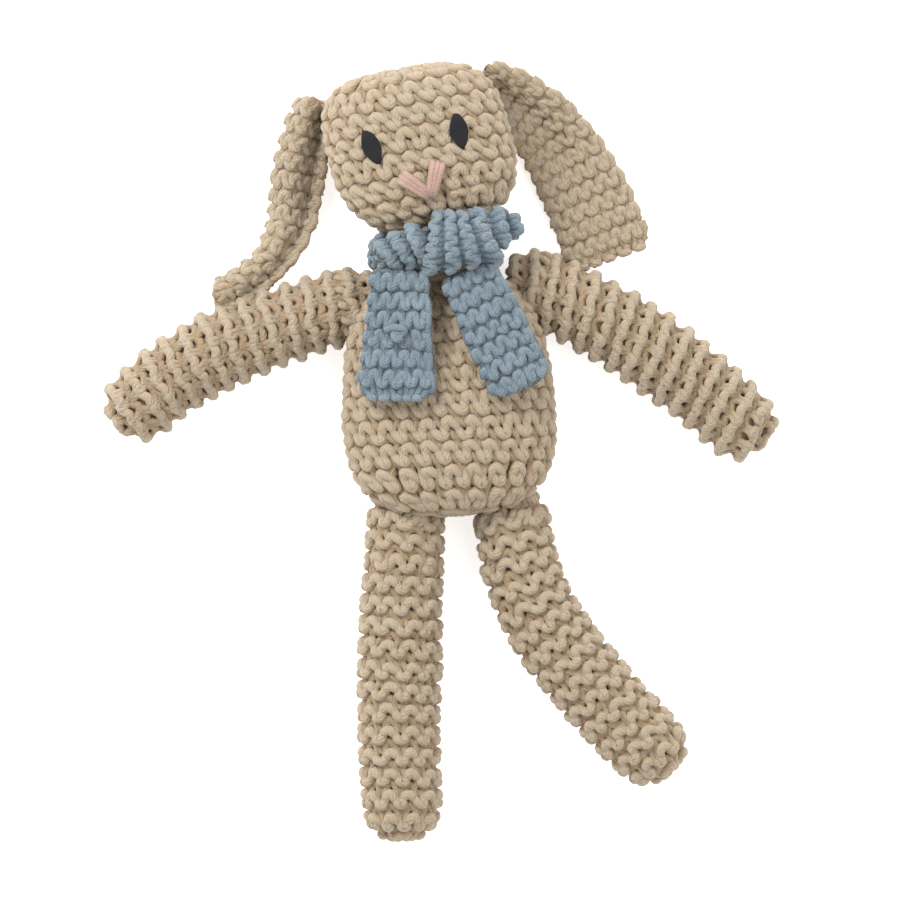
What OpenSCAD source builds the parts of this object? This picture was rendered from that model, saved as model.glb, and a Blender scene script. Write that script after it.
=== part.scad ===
// Knitted rabbit with a tied scarf, lying on its back.
// X runs across the toy, Y from the feet to the head and Z up from the surface it lies on.
// The origin is under the middle of the toy. All lengths are millimetres.

/* [Torso] */
// Width of the torso at the waist
torso_w = 69; // [64:1:72]
// Depth of the torso from back to belly
torso_d = 42; // [38:1:44]
// Length of the torso from the crotch to the neck
torso_l = 80.5; // [78:0.5:82]
// Middle of the torso, across and along the toy
torso_at = [2.5, 19.75]; // [0:0.25:22]
// Lean of the torso towards the left arm, in degrees
torso_lean = 3.5; // [0:0.5:5]
// How much narrower the shoulders are than the hips
torso_taper = 0.06; // [0:0.01:0.1]

/* [Head] */
// Width of the head across the cheeks
head_w = 61; // [56:1:64]
// Height of the head from the chin to the crown
head_l = 54.5; // [52:0.5:56]
// Depth of the head from back to face
head_d = 44; // [40:1:46]
// Middle of the head, across and along the toy
head_at = [-6.4, 95.4]; // [-8:0.2:96]
// Tilt of the head towards the left arm, in degrees
head_tilt = 11; // [6:1:12]

/* [Neck] */
// Centre of the neck: across, along and above the surface
neck_at = [-1, 65, 20.5]; // [-2:0.5:66]
// Radius of the gathered neck
neck_r = 9; // [8:0.5:9.5]

/* [Arms] */
// Centre of the left shoulder
left_shoulder_at = [-34.5, 50]; // [-36:0.5:52]
// Headings of the left arm at the shoulder, elbow and tip
left_arm_headings = [202, 210, 218]; // [200:1:220]
// Lengths of the left upper arm and forearm
left_arm_lengths = [36, 34.5]; // [30:0.5:40]
// Centre of the right shoulder
right_shoulder_at = [33.6, 53]; // [33:0.2:53]
// Headings of the right arm at the shoulder, elbow and tip
right_arm_headings = [-27.5, -35, -42.5]; // [-44:0.5:-26]
// Lengths of the right upper arm and forearm
right_arm_lengths = [38.5, 37.3]; // [34:0.1:40]
// Radius of the arms at the shoulder, elbow and tip
arm_radii = [12, 12.8, 12.1]; // [11:0.1:13]

/* [Legs] */
// Centre of the left hip
left_hip_at = [-12.5, -25]; // [-26:0.5:-12]
// Headings of the left leg at the hip, knee and tip
left_leg_headings = [-91, -90.5, -89]; // [-92:0.5:-88]
// Lengths of the left thigh and shin
left_leg_lengths = [43, 43.4]; // [40:0.1:44]
// Centre of the right hip
right_hip_at = [23.4, -25]; // [-26:0.2:24]
// Headings of the right leg at the hip, knee and tip
right_leg_headings = [-86, -50, -45]; // [-90:1:-40]
// Lengths of the right thigh and shin
right_leg_lengths = [42, 40]; // [38:0.5:43]
// Radius of the legs at the hip, knee and tip
leg_radii = [12.3, 13.2, 12.9]; // [12:0.1:13.5]

/* [Ears] */
// Root of the left ear: across, along and above the surface
left_ear_at = [-45.4, 108, 15]; // [-46:0.2:108]
// Headings of the left ear at its root, bend and tip
left_ear_headings = [-91, -94, -172]; // [-172:1:-90]
// Lengths of the left ear above and below its bend
left_ear_lengths = [29, 35.5]; // [28:0.5:36]
// Half widths of the left ear at its root, bend and tip
left_ear_half_widths = [6.4, 7.2, 3.2]; // [3:0.2:8]
// Root of the right ear: across, along and above the surface
right_ear_at = [25.9, 115, 17]; // [17:0.1:116]
// Headings of the right ear at its root, bend and tip
right_ear_headings = [-25, -72, -74]; // [-76:1:-24]
// Lengths of the right ear above and below its bend
right_ear_lengths = [28, 31]; // [27:1:32]
// Half widths of the right ear at its root, bend and tip
right_ear_half_widths = [6.5, 14, 14]; // [6:0.5:15]
// Heights of the middle of the left ear at its bend and its tip
left_ear_heights = [6, 14]; // [4:0.5:16]
// Heights of the middle of the right ear at its bend and its tip
right_ear_heights = [4, 4]; // [4:0.5:8]
// Thickness of the knitted ear panels
ear_thick = 6; // [5:0.5:7]

/* [Face] */
// Length and width of each embroidered eye
eye_size = [11.5, 5.2]; // [4:0.1:12]
// Headings of the left and the right eye's length
eye_headings = [-67, -79]; // [-90:1:-60]
// Centre of the left eye
left_eye_at = [-21.8, 97.8]; // [-24:0.2:100]
// Centre of the right eye
right_eye_at = [5.4, 103]; // [4:0.2:104]
// Point where the two nose stitches meet
nose_at = [-3.2, 81.6]; // [-4:0.2:82]
// Length and width of each nose stitch
nose_stitch = [10.5, 3.8]; // [3:0.1:11]
// Headings of the left and the right nose stitch from that point
nose_headings = [146, 78]; // [70:1:150]
// Height of the embroidery above the face
stitch_height = 1.4; // [1:0.1:2]

/* [Scarf] */
// Inner and outer radius of the turn round the neck
scarf_turn_radii = [10.4, 19.4]; // [10:0.1:19.5]
// Thickness of the scarf
scarf_thick = 5; // [4:0.5:6]
// Width of the tied knot, its height and its depth
knot_size = [20, 18, 8]; // [7:1:20]
// Middle of the knot, across and along the toy
knot_at = [1.5, 66.5]; // [1:0.5:67]
// Top middle of the left tail
left_tail_at = [-12.8, 55.6]; // [-14:0.2:56]
// Length of the left tail
left_tail_l = 40.5; // [36:0.5:41]
// Heading of the left tail
left_tail_heading = -91.5; // [-95:0.5:-88]
// Half widths of the left tail at its top and its end
left_tail_half_widths = [8.2, 12]; // [7:0.1:13]
// Top middle of the right tail
right_tail_at = [10, 55.2]; // [10:0.2:56]
// Length of the right tail
right_tail_l = 40; // [36:0.5:41]
// Heading of the right tail
right_tail_heading = -64; // [-66:1:-62]
// Half widths of the right tail at its top and its end
right_tail_half_widths = [7.6, 11.4]; // [7:0.1:12]

/* [Making] */
// Thickness of the knitted fabric of the stuffed parts
wall = 3; // [2.5:0.5:3.5]
// Radius of each socket as a share of the ball that turns in it
socket = 1.1; // [1.09:0.01:1.12]

/* [Hidden] */
// Gap left between a casing and its stuffing, and between neighbouring pieces
gap = 0.4;
// How square the pillows are along their length and round their girth
torso_square = 2.6;
crown_square = 3.5;
chin_square = 2.3;
girth_square = 2.4;
// Latitude at which a pillow's pole is closed with a small flat
pole = 86;
// Facets round and along the pillows and the tubes
pillow_sides = 28;
pillow_rings = 16;
tube_sides = 16;
shaft_rings = 4;
ball_step = 18;
// Height of the floor-side of the pillows below the surface, planed off to rest flat
planed = 0.5;
// Angle that each arm swings down
arm_swing = 30;
// Length of the bed that an arm swings into
arm_bed_l = 45;
// Angle off the upright down to which the torso leaves room over an arm's bed
arm_room_lean = 45;
// How much wider the room for a lifted leg is at its top
leg_room_flare = 5;
// Angles off a limb's axis where its ball ends start and stop, and how far a joint's cup wraps past square
ball_pole = 12;
ball_edge = 80;
cup_lip = 8;
// Radius of a seam's round as a share of the ball, and how far it lies off the ball inside and outside
seam_reach = 0.3;
seam_off = [0.6, 1];
// How far, how squarely and how steeply an ear's tip is rounded
ear_tip = [0.93, 4, 0.36];
// How much wider the crown is than the chin
crown_flare = 0.02;
// Offset of the left nose stitch from the right one
nose_offset = 0.5;
// Lowest underside of the scarf's tails, and the share of the torso's fall at its sides that they follow
tail_low = 37;
tail_droop = 0.72;
// Gap between the tails and the chest
tail_gap = 0.6;
// Half widths of the scarf's turn at its inner edge, its fullest place and its outer edge
turn_below = [3.6, 6, 4];
turn_above = [3, 4.6, 3.6];
// Distance of the turn's fullest place from its outer edge
turn_full_at = 3;
torso_z = torso_d / 2 - planed;
head_z = head_d / 2;
arm_z = max(arm_radii);
leg_z = max(leg_radii);
beige = [0.76, 0.67, 0.55];
filling = [0.93, 0.91, 0.86];
seam_beige = [0.66, 0.56, 0.44];
charcoal = [0.13, 0.13, 0.14];
pink = [0.86, 0.62, 0.56];
blue = [0.47, 0.58, 0.66];

// A limb is [root, height, headings, lengths, radii]
left_arm = [left_shoulder_at, arm_z, left_arm_headings, left_arm_lengths, arm_radii];
right_arm = [right_shoulder_at, arm_z, right_arm_headings, right_arm_lengths, arm_radii];
left_leg = [left_hip_at, leg_z, left_leg_headings, left_leg_lengths, leg_radii];
right_leg = [right_hip_at, leg_z, right_leg_headings, right_leg_lengths, leg_radii];

// ---- Curves ----

// A power that keeps the sign, for superellipses
function signed_pow(v, e) = sign(v) * pow(abs(v), e);

// Blend of two values
function mix(a, b, t) = a + (b - a) * t;

// A value with a smooth start and end over t from 0 to 1
function ease(t) = t * t * (3 - 2 * t);

// Point at distance s along an arc that leaves p at heading a and reaches heading b after length l
function along(p, a, b, l, s) =
    let (k = (b - a) / l, h = a + k * s)
    p + 180 / PI / k * [sin(h) - sin(a), cos(a) - cos(h)];

// Ring of a tube: middle, heading, half width and half height, rounded by exponent e
function ring(p, z, heading, w, h, e = 1) = [
    for (j = [0 : tube_sides - 1])
        let (u = w * signed_pow(cos(360 * j / tube_sides), e), v = h * signed_pow(sin(360 * j / tube_sides), e))
        [p.x + u * sin(heading), p.y - u * cos(heading), z + v]
];

// Closed solid through rings of points, with a flat at each end
module skin(rings) {
    n = len(rings[0]);
    last = (len(rings) - 1) * n;
    quads = [for (i = [0 : len(rings) - 2]) for (j = [0 : n - 1]) [i * n + j, i * n + (j + 1) % n]];
    sides = [for (q = quads) each [[q.x, q.y + n, q.x + n], [q.x, q.y, q.y + n]]];
    polyhedron(
        [for (r = rings) each r],
        concat([[for (j = [n - 1 : -1 : 0]) j]], sides, [[for (j = [0 : n - 1]) last + j]])
    );
}

// ---- Pillows ----

// Rings of a pillow of half size h; grow moves its surface in or out
function pillow(h, low_square, high_square, taper, grow) = [
    for (i = [0 : pillow_rings])
        let (
            lat = mix(-pole, pole, i / pillow_rings),
            e = 2 / (lat > 0 ? high_square : low_square),
            v = signed_pow(sin(lat), e),
            f = pow(cos(lat), e)
        )
        [for (j = [0 : pillow_sides - 1])
            let (phi = 360 * j / pillow_sides)
            [
                (h.x + grow) * f * (1 - taper * v) * signed_pow(cos(phi), 2 / girth_square),
                (h.y + grow) * v,
                (h.z + grow) * f * signed_pow(sin(phi), 2 / girth_square)
            ]]
];

module torso_pillow(grow) {
    translate([torso_at.x, torso_at.y, torso_z])
        rotate([0, 0, torso_lean])
            skin(pillow([torso_w, torso_l, torso_d] / 2, torso_square, torso_square, torso_taper, grow));
}

module head_pillow(grow) {
    translate([head_at.x, head_at.y, head_z])
        rotate([0, 0, head_tilt])
            skin(pillow([head_w, head_l, head_d] / 2, chin_square, crown_square, -crown_flare, grow));
}

// Room in the torso for a leg's ball and for the leg when it is lifted upright, larger by extra
module leg_room(limb, extra) {
    r = limb[4][0] * socket + extra;
    translate([limb[0].x, limb[0].y, limb[1]]) {
        sphere(r = r, $fn = 40);
        cylinder(r1 = r, r2 = r + leg_room_flare, h = torso_d, $fn = 40);
    }
}

// Room in the torso for an arm's ball, for the arm when it hangs down, turned by swing from its rest,
// and for the arm when it is lifted from either place
module arm_room(limb, swing, extra) {
    r = limb[4][1] + gap + extra;
    translate([limb[0].x, limb[0].y, limb[1]]) {
        sphere(r = limb[4][0] * socket + extra, $fn = 40);
        rotate([0, 90, limb[2][0] + swing])
            cylinder(r = r, h = arm_bed_l, $fn = 40);
        hull() {
            cylinder(r = r, h = torso_d, $fn = 40);
            for (turn = [0, swing])
                rotate([0, arm_room_lean, limb[2][0] + turn])
                    cylinder(r = r, h = torso_d, $fn = 40);
        }
    }
}

// All the room that the limbs take from the torso
module limb_sockets(extra) {
    arm_room(left_arm, arm_swing, extra);
    arm_room(right_arm, -arm_swing, extra);
    leg_room(left_leg, extra);
    leg_room(right_leg, extra);
}

module neck_socket(extra) {
    translate(neck_at)
        sphere(r = neck_r + gap + extra, $fn = 40);
}

// Everything below the surface that the toy lies on
module below_surface(height) {
    translate([-150, -150, height - 20])
        cube([300, 300, 20]);
}

// ---- Limbs ----

// Middle of a limb at distance s past its root, for the upper (0) or lower (1) half
function limb_point(limb, half, s) =
    let (elbow = along(limb[0], limb[2][0], limb[2][1], limb[3][0], limb[3][0]))
    half == 0 ? along(limb[0], limb[2][0], limb[2][1], limb[3][0], s)
              : along(elbow, limb[2][1], limb[2][2], limb[3][1], s);

// Rings of a ball end, from angle a0 to a1 off the limb's axis, on the side given by dir
function ball_rings(p, z, heading, r, a0, a1, dir) = [
    for (a = [a0 : (a1 - a0) / ceil(abs(a1 - a0) / ball_step) : a1])
        let (o = dir * r * cos(a))
        ring(p + o * [cos(heading), sin(heading)], z, heading, r * sin(a), r * sin(a))
];

// Rings of one half of a limb, its surface moved in by inset
function half_limb(limb, half, inset) =
    let (
        l = limb[3][half],
        r0 = limb[4][half] - inset,
        r1 = limb[4][half + 1] - inset,
        cup = limb[4][1] * socket + inset,
        shaft_end = half == 0 ? l - sqrt(cup * cup - r1 * r1) : l,
        start = limb_point(limb, half, 0),
        end = limb_point(limb, half, l)
    )
    concat(
        ball_rings(start, limb[1], limb[2][half], r0, ball_pole, ball_edge, -1),
        [for (i = [0 : shaft_rings])
            let (s = shaft_end * i / shaft_rings, h = mix(limb[2][half], limb[2][half + 1], s / l))
            ring(limb_point(limb, half, s), limb[1], h, mix(r0, r1, ease(s / l)), mix(r0, r1, ease(s / l)))],
        half == 0
            ? ball_rings(end, limb[1], limb[2][1], cup, asin(r1 / cup) - cup_lip, ball_pole, -1)
            : ball_rings(end, limb[1], limb[2][2], r1, ball_edge, ball_pole, 1)
    );

module limb_casing(limb, half) {
    color(beige)
        difference() {
            skin(half_limb(limb, half, 0));
            skin(half_limb(limb, half, wall));
        }
}

module limb_stuffing(limb, half) {
    color(filling)
        skin(half_limb(limb, half, wall + gap));
}

// The round of sewing yarn between a limb's ball and its socket, facing the torso
module limb_seam(limb) {
    ball = limb[4][0];
    color(seam_beige)
        translate([limb[0].x, limb[0].y, limb[1]])
            rotate([0, 0, limb[2][0] + 180])
                rotate([0, 90, 0])
                    intersection() {
                        difference() {
                            sphere(r = ball + seam_off[1], $fn = 48);
                            sphere(r = ball + seam_off[0], $fn = 48);
                        }
                        cylinder(r = ball * seam_reach, h = 2 * ball, $fn = 48);
                    }
}

// ---- Ears ----

// Rings of an ear panel that drops from its root to its bend and narrows to a round tip
function ear_rings(at, headings, lengths, widths, heights) = [
    for (half = [0, 1])
        for (i = [(half == 0 ? 0 : 1) : 5])
            let (
                bend = along([at.x, at.y], headings[0], headings[1], lengths[0], lengths[0]),
                s = lengths[half] * i / 5,
                p = along(half == 0 ? [at.x, at.y] : bend, headings[half], headings[half + 1], lengths[half], s),
                tip = half == 0 ? 1 : pow(1 - pow(ear_tip[0] * i / 5, ear_tip[1]), ear_tip[2]),
                w = mix(widths[half], widths[half + 1], ease(i / 5)) * tip,
                z = half == 0 ? mix(at.z, heights[0], ease(i / 5)) : mix(heights[0], heights[1], ease(i / 5))
            )
            ring(p, z, mix(headings[half], headings[half + 1], i / 5), w, ear_thick / 2, 2 / 3)
];

module left_ear() {
    color(beige)
        skin(ear_rings(left_ear_at, left_ear_headings, left_ear_lengths, left_ear_half_widths, left_ear_heights));
}

module right_ear() {
    color(beige)
        skin(ear_rings(right_ear_at, right_ear_headings, right_ear_lengths, right_ear_half_widths, right_ear_heights));
}

// ---- Torso and head ----

module torso_casing() {
    color(beige)
        difference() {
            torso_pillow(0);
            limb_sockets(0);
            neck_socket(0);
            below_surface(0);
            difference() {
                torso_pillow(-wall);
                limb_sockets(wall);
                neck_socket(wall);
            }
        }
}

module torso_stuffing() {
    color(filling)
        difference() {
            torso_pillow(-wall - gap);
            limb_sockets(wall + gap);
            neck_socket(wall + gap);
        }
}

module head_casing() {
    color(beige)
        difference() {
            head_pillow(0);
            neck_socket(0);
            difference() {
                head_pillow(-wall);
                neck_socket(wall);
            }
        }
}

module head_stuffing() {
    color(filling)
        difference() {
            head_pillow(-wall - gap);
            neck_socket(wall + gap);
        }
}

// Gathered edge where the head is sewn to the torso
module neck_gather() {
    color(seam_beige)
        translate(neck_at)
            sphere(r = neck_r, $fn = 48);
}

// ---- Face ----

// A patch of embroidery that follows the face, cut from the 2D child
module embroidery(at, turn) {
    intersection() {
        translate([at.x, at.y, head_z])
            rotate([0, 0, turn])
                linear_extrude(height = head_d)
                    children();
        difference() {
            head_pillow(stitch_height);
            head_pillow(0.1);
        }
    }
}

// Leaf with a point at each end
module eye_shape() {
    r = (eye_size.x * eye_size.x + eye_size.y * eye_size.y) / (4 * eye_size.y);
    intersection_for (side = [-1, 1])
        translate([0, side * (r - eye_size.y / 2)])
            circle(r = r, $fn = 48);
}

// Satin stitch from the origin along +X, with round ends
module stitch_shape() {
    r = nose_stitch.y / 2;
    hull() {
        translate([r, 0])
            circle(r = r, $fn = 24);
        translate([nose_stitch.x - r, 0])
            circle(r = r, $fn = 24);
    }
}

module left_eye() {
    color(charcoal)
        embroidery(left_eye_at, eye_headings[0])
            eye_shape();
}

module right_eye() {
    color(charcoal)
        embroidery(right_eye_at, eye_headings[1])
            eye_shape();
}

module nose_left_stitch() {
    color(pink)
        embroidery([nose_at.x - nose_offset, nose_at.y], nose_headings[0])
            stitch_shape();
}

// Starts past the left stitch, so that the two lie side by side
module nose_right_stitch() {
    color(pink)
        difference() {
            embroidery(nose_at, nose_headings[1])
                stitch_shape();
            nose_cut();
        }
}

// Room for the left stitch, a little larger than it
module nose_cut() {
    start = 1;
    apart = 0.1;
    translate([nose_at.x - nose_offset, nose_at.y, head_z])
        rotate([0, 0, nose_headings[0]])
            translate([-start, -nose_stitch.y / 2 - apart, 0])
                cube([nose_stitch.x + start, nose_stitch.y + 2 * apart, head_d]);
}

// ---- Scarf ----

// Height of the torso's front over a point; reach below 1 keeps an edge from drooping over the side
function torso_front(p, reach) =
    let (
        d = p - torso_at,
        x = (d.x * cos(torso_lean) + d.y * sin(torso_lean)) * reach,
        y = -d.x * sin(torso_lean) + d.y * cos(torso_lean),
        v = min(abs(y) / (torso_l / 2), 0.99),
        f = pow(1 - pow(v, torso_square), 1 / torso_square),
        u = min(abs(x) / (torso_w / 2 * f * (1 - torso_taper * sign(y) * v)), 0.99)
    )
    torso_z + torso_d / 2 * f * pow(1 - pow(u, girth_square), 1 / girth_square);

// Underside of a tail over a point: on the chest, and level where the chest falls away from it
function tail_bed(p) = max(torso_front(p, tail_droop), tail_low) + tail_gap;

// Strip of scarf that lies on the chest, a little thinner at its long edges
module tail(at, l, heading, half_widths) {
    steps = 8;
    across = [-1, -0.5, 0, 0.5, 1];
    edge_thinning = 0.6;
    rings = [
        for (i = [0 : steps])
            let (
                c = at + l * i / steps * [cos(heading), sin(heading)],
                w = mix(half_widths[0], half_widths[1], i / steps),
                row = [for (a = across) c + a * w * [sin(heading), -cos(heading)]],
                thin = [for (a = across) a * a * edge_thinning]
            )
            concat(
                [for (j = [0 : 4]) [row[j].x, row[j].y, tail_bed(row[j]) + scarf_thick - thin[j]]],
                [for (j = [4 : -1 : 0]) [row[j].x, row[j].y, tail_bed(row[j]) + thin[j]]]
            )
    ];
    color(blue)
        skin([for (r = rings) [for (j = [9 : -1 : 0]) r[j]]]);
}

module scarf_left_tail() {
    tail(left_tail_at, left_tail_l, left_tail_heading, left_tail_half_widths);
}

module scarf_right_tail() {
    tail(right_tail_at, right_tail_l, right_tail_heading, right_tail_half_widths);
}

// Turn round the neck, thin inside and full outside
module scarf_wrap() {
    low = scarf_turn_radii[0];
    high = scarf_turn_radii[1];
    color(blue)
        translate(neck_at)
            rotate([-90, 0, head_tilt / 2])
                rotate_extrude($fn = 64)
                    polygon([
                        [low, -turn_below[0]], [high - turn_full_at, -turn_below[1]], [high, -turn_below[2]],
                        [high, turn_above[2]], [high - turn_full_at, turn_above[1]], [low, turn_above[0]]
                    ]);
}

// Band tied over the turn at the front
module scarf_knot() {
    front = neck_at.z + scarf_turn_radii[1] + gap;
    corner = 3;
    color(blue)
        translate([knot_at.x, knot_at.y, front])
            rotate([0, 0, head_tilt / 2])
                hull()
                    for (x = [-1, 1])
                        for (y = [-1, 1])
                            translate([x * (knot_size.x / 2 - corner), y * (knot_size.y / 2 - corner), 0]) {
                                cylinder(r = corner, h = knot_size.z - corner, $fn = 24);
                                translate([0, 0, knot_size.z - corner])
                                    sphere(r = corner, $fn = 24);
                            }
}

torso_casing();
torso_stuffing();
neck_gather();
head_casing();
head_stuffing();
left_eye();
right_eye();
nose_left_stitch();
nose_right_stitch();
left_ear();
right_ear();
limb_seam(left_arm);  // left_shoulder_seam
limb_casing(left_arm, 0);  // left_upper_arm
limb_stuffing(left_arm, 0);  // left_upper_arm_stuffing
limb_casing(left_arm, 1);  // left_forearm
limb_stuffing(left_arm, 1);  // left_forearm_stuffing
limb_seam(right_arm);  // right_shoulder_seam
limb_casing(right_arm, 0);  // right_upper_arm
limb_stuffing(right_arm, 0);  // right_upper_arm_stuffing
limb_casing(right_arm, 1);  // right_forearm
limb_stuffing(right_arm, 1);  // right_forearm_stuffing
limb_seam(left_leg);  // left_hip_seam
limb_casing(left_leg, 0);  // left_thigh
limb_stuffing(left_leg, 0);  // left_thigh_stuffing
limb_casing(left_leg, 1);  // left_shin
limb_stuffing(left_leg, 1);  // left_shin_stuffing
limb_seam(right_leg);  // right_hip_seam
limb_casing(right_leg, 0);  // right_thigh
limb_stuffing(right_leg, 0);  // right_thigh_stuffing
limb_casing(right_leg, 1);  // right_shin
limb_stuffing(right_leg, 1);  // right_shin_stuffing
scarf_wrap();
scarf_knot();
scarf_left_tail();
scarf_right_tail();
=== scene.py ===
"""Looks of a hand-knitted toy rabbit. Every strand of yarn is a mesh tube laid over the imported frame."""

import math

import bpy
import numpy as np
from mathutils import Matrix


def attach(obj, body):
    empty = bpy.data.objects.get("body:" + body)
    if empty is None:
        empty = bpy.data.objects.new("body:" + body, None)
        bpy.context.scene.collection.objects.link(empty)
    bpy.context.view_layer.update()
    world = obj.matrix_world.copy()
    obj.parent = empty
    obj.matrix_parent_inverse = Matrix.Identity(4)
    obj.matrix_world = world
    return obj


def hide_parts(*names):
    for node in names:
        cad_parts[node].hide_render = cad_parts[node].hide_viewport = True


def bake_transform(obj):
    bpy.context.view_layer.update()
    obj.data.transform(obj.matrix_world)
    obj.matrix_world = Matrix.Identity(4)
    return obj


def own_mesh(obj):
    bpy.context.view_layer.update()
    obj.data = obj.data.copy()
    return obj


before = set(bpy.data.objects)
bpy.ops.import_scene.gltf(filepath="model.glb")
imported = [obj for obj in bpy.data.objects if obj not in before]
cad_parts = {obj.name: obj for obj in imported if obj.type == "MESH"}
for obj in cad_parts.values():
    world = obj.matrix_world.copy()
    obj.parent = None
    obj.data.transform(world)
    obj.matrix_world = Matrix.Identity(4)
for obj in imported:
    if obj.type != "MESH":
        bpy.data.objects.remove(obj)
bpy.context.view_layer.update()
MM = 0.001  # everything below is in millimetres until a mesh is made

# ---- Sizes, which follow the frame's solids ----

# The torso's and the head's middle, their turn in degrees, their half width, length and depth, how square
# they are below and above the middle, how much they narrow upwards, and how far they lean to the side on
# the way up
TORSO = {
    "at": (2.5, 19.5), "z": 20.5, "turn": 3.5, "half": (34.7, 40.8, 21), "squares": (3.0, 2.6),
    "taper": 0.06, "lean": 0.0,
}
HEAD = {
    "at": (-6.0, 96.1), "z": 22, "turn": 11, "half": (30.3, 28.1, 22), "squares": (2.4, 3.8),
    "taper": 0.0, "lean": -0.09,
}
# How square the torso and the head are in cross-section
GIRTH_SQUARE = 2.4
# The chest is drawn in below the scarf's knot: where, how wide and how deep
CHEST = {"at": (-1.0, 44.0), "half": (8.5, 15.0), "depth": 8.5}
# The limbs: headings and radii at the root, at the elbow or knee, and at the tip, the lengths between these,
# how far a limb goes back into the torso, and how many rows its rows tilt by
ARM_Z = 12.8
LEG_Z = 13.2
LIMBS = {
    "left_arm": {"root": (-33.7, 45.7), "z": ARM_Z, "headings": (194.5, 204.5, 222), "lengths": (38, 30.2),
                 "radii": (12.6, 13.3, 12.6), "back": 15, "tilt": -0.25},
    "right_arm": {"root": (33.6, 51.3), "z": ARM_Z, "headings": (-22.5, -35, -43), "lengths": (38.5, 35.4),
                  "radii": (12.8, 13.3, 12.6), "back": 13, "tilt": 0.9},
    "left_leg": {"root": (-11.2, -25), "z": LEG_Z, "headings": (-93, -91.3, -87.3), "lengths": (43, 43.8),
                 "radii": (13.1, 13.9, 13.3), "back": 12, "tilt": -0.15},
    "right_leg": {"root": (23.2, -25), "z": LEG_Z, "headings": (-82.5, -52, -45.5), "lengths": (42, 40.0),
                  "radii": (12.8, 13.4, 13.3), "back": 12, "tilt": 0.25},
}
NECK = np.array([-1, 65, 20.5])
UP = np.array([0, 0, 1.0])

# ---- Knitting ----

# One stitch of garter, from the bottom of one loop to the next: across in stitches, up in loop heights
STITCH_X = np.array([0, 0.15, 0.235, 0.265, 0.35, 0.5, 0.65, 0.735, 0.765, 0.85])
STITCH_Y = np.array([-1, -0.81, -0.31, 0.31, 0.81, 1, 0.81, 0.31, -0.31, -0.81])
# Out of the cloth: the loop's two ends lie on its two faces, and its legs pass over and under the next ones
STITCH_ENDS = np.array([-1, -1, -0.7, 0.7, 1, 1, 1, 0.7, -0.7, -1])
STITCH_LEGS = np.array([0, 0, 1, -1, 0, 0, 0, -1, 1, 0])
# A round keeps its number of stitches while each has this share of its width
SNUG, ROOMY = 0.82, 1.2
# Where a strand is in its stitch as it leaves and enters a row at an edge
EDGE_Y = (-0.2, 0.4)
# How near the first and the last row's loops may come to the end of the cloth, in rows
END_GAP = 0.1
# Corners round a strand, and places along it between two points of a stitch
SIDES = 8
SMOOTHING = 2
# The eight corners at the end of a strand, as three faces
END_FACES = ((0, 1, 2, 3), (0, 3, 4, 7), (4, 5, 6, 7))
# Furthest that a strand's twist is started along it
TWIST_START = 50
# How softly the yarn is pressed flat on the floor
PRESS = 0.09


def stitch_x(gauge):
    """Places across a stitch, its two legs drawn together by the gauge's pinch."""
    pull = gauge["pinch"] * np.abs(STITCH_LEGS)
    return STITCH_X + pull * (0.5 - STITCH_X)


def leant(gauge, y):
    """How far a stitch leans at y, from the ridge that its end belongs to."""
    return gauge["lean"] * (y - 0.5 * np.sign(y))


def signed_pow(v, e):
    return np.sign(v) * np.abs(v) ** e


def unit(v):
    return v / np.maximum(np.linalg.norm(v, axis=-1, keepdims=True), 1e-9)


def even(points, count, closed=False):
    """Fractions of the way along a line of points, at count places an even distance apart."""
    steps = np.linalg.norm(np.diff(points, axis=0), axis=1)
    run = np.concatenate([[0], np.cumsum(steps)])
    places = np.linspace(0, run[-1], count, endpoint=not closed)
    return np.interp(places, run, np.linspace(0, 1, len(points))), run[-1]


class Cloth:
    """A surface for yarn: a grid of points, where u goes round or across it and s counts rows up it."""

    def __init__(self, grid, closed, per_row):
        self.grid, self.closed, self.per_row = grid, closed, per_row
        if closed:
            du = np.roll(grid, -1, 1) - np.roll(grid, 1, 1)
        else:
            du = np.gradient(grid, axis=1)
        self.normals = unit(np.cross(du, np.gradient(grid, axis=0)))
        gaps = np.diff(np.concatenate([grid, grid[:, :1]], 1) if closed else grid, axis=1)
        self.girths = np.linalg.norm(gaps, axis=2).sum(1)

    def girth(self, s):
        return np.interp(s * self.per_row, np.arange(len(self.girths)), self.girths)

    def _mix(self, table, u, s):
        rows, cols = table.shape[:2]
        a = np.asarray(s) * self.per_row
        i = np.clip(np.floor(a).astype(int), 0, rows - 2)
        a = (a - i)[..., None]
        if self.closed:
            b = (np.asarray(u) % 1) * cols
            j = np.floor(b).astype(int) % cols
            b = (b - np.floor(b))[..., None]
            k = (j + 1) % cols
        else:
            b = np.asarray(u) * (cols - 1)
            j = np.clip(np.floor(b).astype(int), 0, cols - 2)
            b = (b - j)[..., None]
            k = j + 1
        low = table[i, j] * (1 - b) + table[i, k] * b
        high = table[i + 1, j] * (1 - b) + table[i + 1, k] * b
        return low * (1 - a) + high * a

    def at(self, u, s, lift):
        n = unit(self._mix(self.normals, u, s))
        return self._mix(self.grid, u, s) + n * np.asarray(lift)[..., None], n


class Wobble:
    """Smooth unevenness over a piece of knitting, so that neighbouring loops drift together."""

    def __init__(self, rng, across, up):
        self.table = rng.standard_normal((up + 4, across + 4))

    def __call__(self, x, s):
        x = np.mod(x, self.table.shape[1])
        s = np.mod(s, self.table.shape[0])
        i, j = np.floor(s).astype(int), np.floor(x).astype(int)
        a, b = s - i, x - j
        a, b = a * a * (3 - 2 * a), b * b * (3 - 2 * b)
        i2, j2 = (i + 1) % self.table.shape[0], (j + 1) % self.table.shape[1]
        i, j = i % self.table.shape[0], j % self.table.shape[1]
        t = self.table
        return (t[i, j] * (1 - b) + t[i, j2] * b) * (1 - a) + (t[i2, j] * (1 - b) + t[i2, j2] * b) * a


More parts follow.
